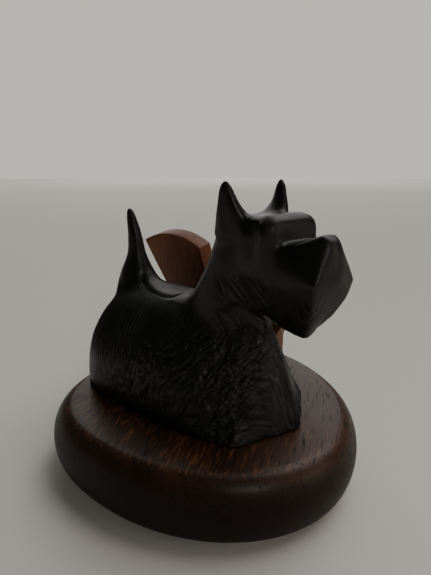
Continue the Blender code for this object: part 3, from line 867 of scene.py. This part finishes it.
def wood(name, turn, dark, warm, gold, gloss, streaks, sides, wax):
    """Open-grained wood: soft long figure, fine fibres and short open pores along the grain that
    catch a golden light, most of all on the near side. The sides share says how much of this the
    faces that look sideways have; they are darker, partly as end grain and partly as painted shade,
    and the wax is duller in the pores."""
    f = Finish(name, Specular_IOR_Level=0.14, Coat_Roughness=0.36)

    def grain(scale, shift=(0.0, 0.0, 0.0), **kind):
        return f.noise(f.place(scale, turn, shift), **kind)

    figure = grain((22.0, 3.5, 22.0), detail=4.0, rough=0.6, twist=1.0)
    fibre = grain((1100.0, 45.0, 1100.0), detail=3.0, rough=0.65)
    streak = grain((980.0, 120.0, 980.0), (0.13, 0.02, 0.07), detail=2.0, rough=0.5, twist=0.2)
    patch = grain((30.0, 20.0, 30.0), (0.4, 0.1, 0.2), detail=2.0).between(0.25, 0.6)
    pits = grain((1500.0, 110.0, 1500.0), (0.05, 0.31, 0.11), detail=2.0, rough=0.5).between(0.57, 0.68)
    near = f.node("SeparateXYZ", {}, f.place(), output="Y").between(0.012, -0.028, 0.25, 1.0)
    upward = f.node("SeparateXYZ", {}, f.node("NewGeometry", {}, output="Normal"), output="Z")
    face = sides + (1.0 - sides) * upward.between(0.80, 0.99)
    shine = streak.between(0.545, 0.65) * (0.25 + 0.75 * patch) * near * face
    tone = f.mix(figure.between(0.32, 0.68), dark, warm)
    # partly end grain, partly painted shade: faces that look sideways or down are mixed darker
    tone = f.mix((1.0 - sides) * upward.between(0.9, 0.2), tone, tuple(0.35 * c for c in dark))
    tone = f.mix(shine * streaks, tone, gold)
    tone = f.mix(fibre.between(0.45, 0.75) * face * 0.22 * streaks, tone, gold)
    tone = f.mix(pits * 0.7, tone, tuple(0.2 * c for c in dark))
    f.set(Base_Color=tone, Roughness=gloss + 0.16 * pits + 0.08 * fibre.between(0.3, 0.7))
    f.set(Coat_Weight=(wax - 0.6 * wax * pits) * (sides + (1.0 - sides) * upward.between(0.1, 0.9)))
    f.set(Normal=f.bump(0.5 * fibre + 0.4 * streak - 0.7 * pits, 0.00008, 0.5))
    return f.material


def brushed(name, colour, turn, rough):
    """Metal with fine brush marks along one way, and a little tarnish."""
    f = Finish(name, Metallic=1.0)
    marks = f.noise(f.place((3800.0, 90.0, 3800.0), turn), detail=2.0)
    tarnish = f.noise(f.place((260.0,) * 3), detail=4.0).between(0.45, 0.7)
    dull = tuple(0.45 * c for c in colour)
    f.set(Base_Color=f.mix(tarnish * 0.7, colour, dull))
    f.set(Roughness=rough + 0.10 * marks + 0.14 * tarnish)
    f.set(Normal=f.bump(marks, 0.00003, 0.4))
    return f.material


def felted(name):
    """Short matted wool: mottled colour and a fuzzy relief."""
    f = Finish(name, Roughness=0.95, Sheen_Weight=0.4, Sheen_Roughness=0.5)
    fuzz = f.noise(f.place((1600.0,) * 3), detail=5.0, rough=0.7, twist=1.5)
    patch = f.noise(f.place((150.0,) * 3), detail=3.0)
    tone = f.mix(patch.between(0.3, 0.7), (0.010, 0.026, 0.016), (0.020, 0.046, 0.028))
    f.set(Base_Color=f.mix(fuzz.between(0.5, 0.8) * 0.6, tone, (0.045, 0.085, 0.055)))
    f.set(Normal=f.bump(fuzz, 0.00025, 0.8))
    return f.material


def plain_floor():
    """Pale paper, very slightly mottled."""
    f = Finish("pale_floor", Specular_IOR_Level=0.15)
    tooth = f.noise(f.place((500.0,) * 3), detail=3.0)
    f.set(Base_Color=f.mix(tooth, (0.73, 0.710, 0.655), (0.76, 0.740, 0.685)))
    f.set(Roughness=0.85 + 0.1 * tooth)
    return f.material


# ---------------------------------------------------------------- stage, lights and camera

def make_floor():
    """A round sheet of paper that the object stands on."""
    rings = [disc(radius, 0.0, 0.0, 0.0, 96) for radius in (0.1, 0.4, 1.0, 2.0, 3.5)]
    rings += [disc(radius, 0.0, 0.0, -0.01, 96) for radius in (3.5, 1.0, 0.1)]
    floor = add_object("floor", tube("floor", rings))
    paint(floor, plain_floor())


def add_light(name, place, aim, size, power, colour):
    """A soft square light that looks at a point and isn't seen itself."""
    lamp = bpy.data.lights.new(name, "AREA")
    lamp.shape, lamp.size, lamp.energy, lamp.color = "SQUARE", size, power, colour
    light = add_object(name, lamp)
    x, y, z = np.array(aim) - np.array(place)
    light.location = place
    light.visible_camera = False
    light.rotation_euler = (math.atan2(math.hypot(x, y), -z), 0.0, math.atan2(y, x) - 0.5 * math.pi)


def light_stage():
    """A wide soft light from above and behind, a warm one from the dog's front, a small one that
    picks out the ridges, a large pale wall behind and to the left, and a pale room that lights the
    object less than it shows."""
    sky = bpy.data.lights.new("sky", "SUN")
    sky.energy, sky.angle, sky.color = 1.3, math.radians(50.0), (1.0, 0.985, 0.96)
    add_object("sky", sky).rotation_euler = (math.radians(-32.0), 0.0, math.radians(-20.0))
    add_light("warm_side", (0.70, 0.16, 0.26), (0.0, 0.0, 0.05), 0.35, 0.65, (1.0, 0.88, 0.74))
    add_light("ridge_lamp", (0.62, -0.42, 0.42), (0.0, 0.0, 0.08), 0.10, 0.7, (1.0, 0.98, 0.95))
    add_light("pale_wall", (-2.30, 2.90, 2.10), (0.0, 0.0, 0.08), 4.0, 55.0, (1.0, 0.98, 0.95))
    world = bpy.data.worlds.new("room")
    bpy.context.scene.world = world
    world.use_nodes = True
    room = Nodes(world.node_tree)
    back = room.tree.nodes["Background"]
    seen = room.node("LightPath", {}, output="Is Camera Ray")
    room.join(ROOM_COLOUR, back.inputs["Color"])
    room.join(seen.between(0.0, 1.0, ROOM_LIGHT, ROOM_SHOWN), back.inputs["Strength"])


def make_camera():
    """The camera looks down on the dog's right front."""
    data = bpy.data.cameras.new("camera")
    data.sensor_fit, data.angle, data.clip_start = "VERTICAL", CAMERA_VIEW, CAMERA_NEAR
    camera = add_object("camera", data)
    camera.location = CAMERA_PLACE
    camera.rotation_euler = (math.radians(90.0) - CAMERA_DOWN, 0.0, CAMERA_TURN)
    bpy.context.scene.camera = camera


def paint(obj, material):
    """Give an object one material."""
    obj.data.materials.clear()
    obj.data.materials.append(material)


def repaint(name, material):
    """Give a CAD node a new material in every slot."""
    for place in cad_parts[name].material_slots:
        place.material = material


def main():
    """Stage, pieces and finishes."""
    make_camera()
    light_stage()
    make_floor()
    walnut = wood("walnut", (0.0, 0.0, -GRAIN_TURN), dark=(0.0170, 0.0062, 0.0028),
                  warm=(0.0580, 0.0215, 0.0095), gold=(0.145, 0.058, 0.021), gloss=0.40, streaks=1.0,
                  sides=0.06, wax=0.42)
    redwood = wood("red_wood", (math.radians(90.0), 0.0, 0.0), dark=(0.150, 0.0530, 0.0260),
                   warm=(0.215, 0.0770, 0.0350), gold=(0.36, 0.130, 0.042), gloss=0.42, streaks=0.25,
                   sides=1.0, wax=0.12)
    paint(make_terrier(), black_satin())
    paint(make_pebble(), walnut)
    paint(make_felt(), felted("green_felt"))
    paint(make_board(), redwood)
    brass = brushed("brass", (0.72, 0.52, 0.24), (0.0, math.radians(43.0), 0.0), 0.26)
    paint(make_strip("strip_rear", -1, "brass_strip_rear"), brass)
    paint(make_strip("strip_front", 1, "brass_strip_front"), brass)
    steel = brushed("steel", (0.50, 0.50, 0.51), (math.radians(90.0), 0.0, 0.0), 0.32)
    for name in ("dog_screw_rear", "dog_screw_front", "board_screw_rear", "board_screw_front"):
        repaint(name, steel)


main()
